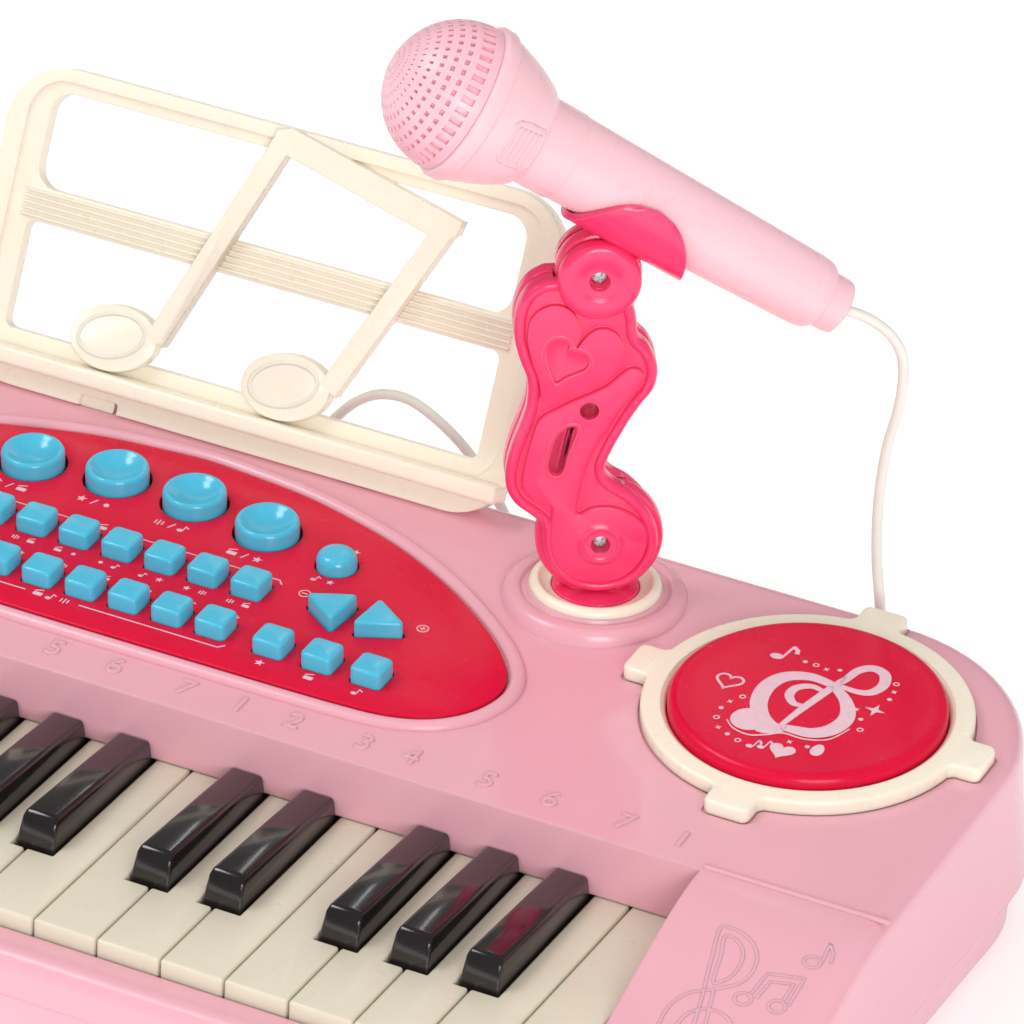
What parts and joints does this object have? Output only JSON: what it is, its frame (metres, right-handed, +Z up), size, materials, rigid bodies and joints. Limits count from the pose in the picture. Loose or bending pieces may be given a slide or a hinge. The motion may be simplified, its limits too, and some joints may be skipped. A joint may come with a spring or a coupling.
{
  "type": "toy electronic keyboard",
  "caption": "Toy electronic keyboard with hinged piano keys, drum pad, button panel, lift-off music stand and a microphone on a jointed swivelling arm",
  "frame": {"origin": "on the standing surface, under the middle of the case, on the sole of the middle foot", "axes": "X along the keys to the player's right, Y away from the player, Z up"},
  "size_m": [0.56, 0.3069, 0.2458],
  "materials": {
    "case_pink": "moulded ABS, satin gloss, light pink",
    "panel_crimson": "moulded ABS, satin, crimson",
    "button_blue": "glossy moulded sky blue buttons",
    "trim_cream": "moulded cream plastic",
    "arm_pink": "glossy hot pink plastic",
    "mic_pink": "satin pale pink plastic",
    "key_ivory": "ivory plastic",
    "key_black": "polished black plastic",
    "cable_white": "soft white PVC sleeve",
    "screw_steel": "zinc plated, pan head",
    "board_green": "solder-masked laminate",
    "speaker_black": "paper cone and pressed basket"
  },
  "bodies": {
    "root": {"upper_shell": "case_pink", "lower_shell": "case_pink", "control_panel": "panel_crimson", "drum_ring": "trim_cream", "speaker_grille": "trim_cream", "speaker": "speaker_black", "arm_collar": "trim_cream", "circuit_board": "board_green", "case_screws": "screw_steel", "mic_cable": "cable_white", "mic_plug": "cable_white"},
    "drum_buttons": {"drum_buttons": "button_blue"},
    "function_buttons": {"function_buttons": "button_blue"},
    "drum_pad": {"drum_pad": "panel_crimson"},
    "arm_foot": {"arm_foot": "arm_pink"},
    "arm": {"arm_front": "arm_pink", "arm_back": "arm_pink", "arm_screws": "screw_steel"},
    "mic_clip": {"mic_clip": "arm_pink"},
    "microphone": {"mic_body": "mic_pink", "mic_grille": "mic_pink"},
    "music_stand": {"music_stand": "trim_cream"},
    "battery_door": {"battery_door": "case_pink"},
    "white_key_01": {"white_key_01": "key_ivory"},
    "white_key_02": {"white_key_02": "key_ivory"},
    "white_key_03": {"white_key_03": "key_ivory"},
    "white_key_04": {"white_key_04": "key_ivory"},
    "white_key_05": {"white_key_05": "key_ivory"},
    "white_key_06": {"white_key_06": "key_ivory"},
    "white_key_07": {"white_key_07": "key_ivory"},
    "white_key_08": {"white_key_08": "key_ivory"},
    "white_key_09": {"white_key_09": "key_ivory"},
    "white_key_10": {"white_key_10": "key_ivory"},
    "white_key_11": {"white_key_11": "key_ivory"},
    "white_key_12": {"white_key_12": "key_ivory"},
    "white_key_13": {"white_key_13": "key_ivory"},
    "white_key_14": {"white_key_14": "key_ivory"},
    "white_key_15": {"white_key_15": "key_ivory"},
    "white_key_16": {"white_key_16": "key_ivory"},
    "white_key_17": {"white_key_17": "key_ivory"},
    "white_key_18": {"white_key_18": "key_ivory"},
    "white_key_19": {"white_key_19": "key_ivory"},
    "white_key_20": {"white_key_20": "key_ivory"},
    "white_key_21": {"white_key_21": "key_ivory"},
    "white_key_22": {"white_key_22": "key_ivory"},
    "black_key_01": {"black_key_01": "key_black"},
    "black_key_02": {"black_key_02": "key_black"},
    "black_key_03": {"black_key_03": "key_black"},
    "black_key_04": {"black_key_04": "key_black"},
    "black_key_05": {"black_key_05": "key_black"},
    "black_key_06": {"black_key_06": "key_black"},
    "black_key_07": {"black_key_07": "key_black"},
    "black_key_08": {"black_key_08": "key_black"},
    "black_key_09": {"black_key_09": "key_black"},
    "black_key_10": {"black_key_10": "key_black"},
    "black_key_11": {"black_key_11": "key_black"},
    "black_key_12": {"black_key_12": "key_black"},
    "black_key_13": {"black_key_13": "key_black"},
    "black_key_14": {"black_key_14": "key_black"},
    "black_key_15": {"black_key_15": "key_black"}
  },
  "joints": [
    {"name": "drum_buttons_press", "type": "slide", "parent": "root", "child": "drum_buttons", "axis": [0, 0.0645, -0.9979], "range_m": [0, 0.0015], "stiffness_N_per_m": 600, "springref_m": -0.0005},
    {"name": "function_buttons_press", "type": "slide", "parent": "root", "child": "function_buttons", "axis": [0, 0.0645, -0.9979], "range_m": [0, 0.0015], "stiffness_N_per_m": 900, "springref_m": -0.0006},
    {"name": "drum_pad_press", "type": "slide", "parent": "root", "child": "drum_pad", "axis": [0, 0.0645, -0.9979], "range_m": [0, 0.0015], "stiffness_N_per_m": 1500, "springref_m": -0.0006},
    {"name": "arm_swivel", "type": "hinge", "parent": "root", "child": "arm_foot", "pos_m": [0.134, 0.091, 0.06], "axis": [0, 0, 1], "range_deg": [-60, 60], "deforming": ["mic_cable"]},
    {"name": "arm_tilt", "type": "hinge", "parent": "arm_foot", "child": "arm", "pos_m": [0.134, 0.091, 0.0832], "axis": [0.5, -0.866, 0], "range_deg": [-30, 30], "deforming": ["mic_cable"]},
    {"name": "clip_tilt", "type": "hinge", "parent": "arm", "child": "mic_clip", "pos_m": [0.12967, 0.0885, 0.17], "axis": [0.5, -0.866, 0], "range_deg": [-35, 35], "deforming": ["mic_cable"]},
    {"name": "mic_pull", "type": "slide", "parent": "mic_clip", "child": "microphone", "axis": [0.433, 0.25, 0.866], "range_m": [0, 0.035], "deforming": ["mic_cable"]},
    {"name": "stand_lift", "type": "slide", "parent": "root", "child": "music_stand", "axis": [0, 0.3955, 0.9184], "range_m": [0, 0.03]},
    {"name": "battery_door_slide", "type": "slide", "parent": "root", "child": "battery_door", "axis": [0, 1, 0], "range_m": [0, 0.06]},
    {"name": "white_key_01_press", "type": "hinge", "parent": "root", "child": "white_key_01", "pos_m": [0, 0.025, 0.026], "axis": [1, 0, 0], "range_deg": [0, 2], "stiffness_Nm_per_rad": 0.8, "springref_deg": -2.86},
    {"name": "white_key_02_press", "type": "hinge", "parent": "root", "child": "white_key_02", "pos_m": [0, 0.025, 0.026], "axis": [1, 0, 0], "range_deg": [0, 2], "stiffness_Nm_per_rad": 0.8, "springref_deg": -2.86},
    {"name": "white_key_03_press", "type": "hinge", "parent": "root", "child": "white_key_03", "pos_m": [0, 0.025, 0.026], "axis": [1, 0, 0], "range_deg": [0, 2], "stiffness_Nm_per_rad": 0.8, "springref_deg": -2.86},
    {"name": "white_key_04_press", "type": "hinge", "parent": "root", "child": "white_key_04", "pos_m": [0, 0.025, 0.026], "axis": [1, 0, 0], "range_deg": [0, 2], "stiffness_Nm_per_rad": 0.8, "springref_deg": -2.86},
    {"name": "white_key_05_press", "type": "hinge", "parent": "root", "child": "white_key_05", "pos_m": [0, 0.025, 0.026], "axis": [1, 0, 0], "range_deg": [0, 2], "stiffness_Nm_per_rad": 0.8, "springref_deg": -2.86},
    {"name": "white_key_06_press", "type": "hinge", "parent": "root", "child": "white_key_06", "pos_m": [0, 0.025, 0.026], "axis": [1, 0, 0], "range_deg": [0, 2], "stiffness_Nm_per_rad": 0.8, "springref_deg": -2.86},
    {"name": "white_key_07_press", "type": "hinge", "parent": "root", "child": "white_key_07", "pos_m": [0, 0.025, 0.026], "axis": [1, 0, 0], "range_deg": [0, 2], "stiffness_Nm_per_rad": 0.8, "springref_deg": -2.86},
    {"name": "white_key_08_press", "type": "hinge", "parent": "root", "child": "white_key_08", "pos_m": [0, 0.025, 0.026], "axis": [1, 0, 0], "range_deg": [0, 2], "stiffness_Nm_per_rad": 0.8, "springref_deg": -2.86},
    {"name": "white_key_09_press", "type": "hinge", "parent": "root", "child": "white_key_09", "pos_m": [0, 0.025, 0.026], "axis": [1, 0, 0], "range_deg": [0, 2], "stiffness_Nm_per_rad": 0.8, "springref_deg": -2.86},
    {"name": "white_key_10_press", "type": "hinge", "parent": "root", "child": "white_key_10", "pos_m": [0, 0.025, 0.026], "axis": [1, 0, 0], "range_deg": [0, 2], "stiffness_Nm_per_rad": 0.8, "springref_deg": -2.86},
    {"name": "white_key_11_press", "type": "hinge", "parent": "root", "child": "white_key_11", "pos_m": [0, 0.025, 0.026], "axis": [1, 0, 0], "range_deg": [0, 2], "stiffness_Nm_per_rad": 0.8, "springref_deg": -2.86},
    {"name": "white_key_12_press", "type": "hinge", "parent": "root", "child": "white_key_12", "pos_m": [0, 0.025, 0.026], "axis": [1, 0, 0], "range_deg": [0, 2], "stiffness_Nm_per_rad": 0.8, "springref_deg": -2.86},
    {"name": "white_key_13_press", "type": "hinge", "parent": "root", "child": "white_key_13", "pos_m": [0, 0.025, 0.026], "axis": [1, 0, 0], "range_deg": [0, 2], "stiffness_Nm_per_rad": 0.8, "springref_deg": -2.86},
    {"name": "white_key_14_press", "type": "hinge", "parent": "root", "child": "white_key_14", "pos_m": [0, 0.025, 0.026], "axis": [1, 0, 0], "range_deg": [0, 2], "stiffness_Nm_per_rad": 0.8, "springref_deg": -2.86},
    {"name": "white_key_15_press", "type": "hinge", "parent": "root", "child": "white_key_15", "pos_m": [0, 0.025, 0.026], "axis": [1, 0, 0], "range_deg": [0, 2], "stiffness_Nm_per_rad": 0.8, "springref_deg": -2.86},
    {"name": "white_key_16_press", "type": "hinge", "parent": "root", "child": "white_key_16", "pos_m": [0, 0.025, 0.026], "axis": [1, 0, 0], "range_deg": [0, 2], "stiffness_Nm_per_rad": 0.8, "springref_deg": -2.86},
    {"name": "white_key_17_press", "type": "hinge", "parent": "root", "child": "white_key_17", "pos_m": [0, 0.025, 0.026], "axis": [1, 0, 0], "range_deg": [0, 2], "stiffness_Nm_per_rad": 0.8, "springref_deg": -2.86},
    {"name": "white_key_18_press", "type": "hinge", "parent": "root", "child": "white_key_18", "pos_m": [0, 0.025, 0.026], "axis": [1, 0, 0], "range_deg": [0, 2], "stiffness_Nm_per_rad": 0.8, "springref_deg": -2.86},
    {"name": "white_key_19_press", "type": "hinge", "parent": "root", "child": "white_key_19", "pos_m": [0, 0.025, 0.026], "axis": [1, 0, 0], "range_deg": [0, 2], "stiffness_Nm_per_rad": 0.8, "springref_deg": -2.86},
    {"name": "white_key_20_press", "type": "hinge", "parent": "root", "child": "white_key_20", "pos_m": [0, 0.025, 0.026], "axis": [1, 0, 0], "range_deg": [0, 2], "stiffness_Nm_per_rad": 0.8, "springref_deg": -2.86},
    {"name": "white_key_21_press", "type": "hinge", "parent": "root", "child": "white_key_21", "pos_m": [0, 0.025, 0.026], "axis": [1, 0, 0], "range_deg": [0, 2], "stiffness_Nm_per_rad": 0.8, "springref_deg": -2.86},
    {"name": "white_key_22_press", "type": "hinge", "parent": "root", "child": "white_key_22", "pos_m": [0, 0.025, 0.026], "axis": [1, 0, 0], "range_deg": [0, 2], "stiffness_Nm_per_rad": 0.8, "springref_deg": -2.86},
    {"name": "black_key_01_press", "type": "hinge", "parent": "root", "child": "black_key_01", "pos_m": [0, 0.025, 0.026], "axis": [1, 0, 0], "range_deg": [0, 2], "stiffness_Nm_per_rad": 0.8, "springref_deg": -2.86},
    {"name": "black_key_02_press", "type": "hinge", "parent": "root", "child": "black_key_02", "pos_m": [0, 0.025, 0.026], "axis": [1, 0, 0], "range_deg": [0, 2], "stiffness_Nm_per_rad": 0.8, "springref_deg": -2.86},
    {"name": "black_key_03_press", "type": "hinge", "parent": "root", "child": "black_key_03", "pos_m": [0, 0.025, 0.026], "axis": [1, 0, 0], "range_deg": [0, 2], "stiffness_Nm_per_rad": 0.8, "springref_deg": -2.86},
    {"name": "black_key_04_press", "type": "hinge", "parent": "root", "child": "black_key_04", "pos_m": [0, 0.025, 0.026], "axis": [1, 0, 0], "range_deg": [0, 2], "stiffness_Nm_per_rad": 0.8, "springref_deg": -2.86},
    {"name": "black_key_05_press", "type": "hinge", "parent": "root", "child": "black_key_05", "pos_m": [0, 0.025, 0.026], "axis": [1, 0, 0], "range_deg": [0, 2], "stiffness_Nm_per_rad": 0.8, "springref_deg": -2.86},
    {"name": "black_key_06_press", "type": "hinge", "parent": "root", "child": "black_key_06", "pos_m": [0, 0.025, 0.026], "axis": [1, 0, 0], "range_deg": [0, 2], "stiffness_Nm_per_rad": 0.8, "springref_deg": -2.86},
    {"name": "black_key_07_press", "type": "hinge", "parent": "root", "child": "black_key_07", "pos_m": [0, 0.025, 0.026], "axis": [1, 0, 0], "range_deg": [0, 2], "stiffness_Nm_per_rad": 0.8, "springref_deg": -2.86},
    {"name": "black_key_08_press", "type": "hinge", "parent": "root", "child": "black_key_08", "pos_m": [0, 0.025, 0.026], "axis": [1, 0, 0], "range_deg": [0, 2], "stiffness_Nm_per_rad": 0.8, "springref_deg": -2.86},
    {"name": "black_key_09_press", "type": "hinge", "parent": "root", "child": "black_key_09", "pos_m": [0, 0.025, 0.026], "axis": [1, 0, 0], "range_deg": [0, 2], "stiffness_Nm_per_rad": 0.8, "springref_deg": -2.86},
    {"name": "black_key_10_press", "type": "hinge", "parent": "root", "child": "black_key_10", "pos_m": [0, 0.025, 0.026], "axis": [1, 0, 0], "range_deg": [0, 2], "stiffness_Nm_per_rad": 0.8, "springref_deg": -2.86},
    {"name": "black_key_11_press", "type": "hinge", "parent": "root", "child": "black_key_11", "pos_m": [0, 0.025, 0.026], "axis": [1, 0, 0], "range_deg": [0, 2], "stiffness_Nm_per_rad": 0.8, "springref_deg": -2.86},
    {"name": "black_key_12_press", "type": "hinge", "parent": "root", "child": "black_key_12", "pos_m": [0, 0.025, 0.026], "axis": [1, 0, 0], "range_deg": [0, 2], "stiffness_Nm_per_rad": 0.8, "springref_deg": -2.86},
    {"name": "black_key_13_press", "type": "hinge", "parent": "root", "child": "black_key_13", "pos_m": [0, 0.025, 0.026], "axis": [1, 0, 0], "range_deg": [0, 2], "stiffness_Nm_per_rad": 0.8, "springref_deg": -2.86},
    {"name": "black_key_14_press", "type": "hinge", "parent": "root", "child": "black_key_14", "pos_m": [0, 0.025, 0.026], "axis": [1, 0, 0], "range_deg": [0, 2], "stiffness_Nm_per_rad": 0.8, "springref_deg": -2.86},
    {"name": "black_key_15_press", "type": "hinge", "parent": "root", "child": "black_key_15", "pos_m": [0, 0.025, 0.026], "axis": [1, 0, 0], "range_deg": [0, 2], "stiffness_Nm_per_rad": 0.8, "springref_deg": -2.86}
  ]
}
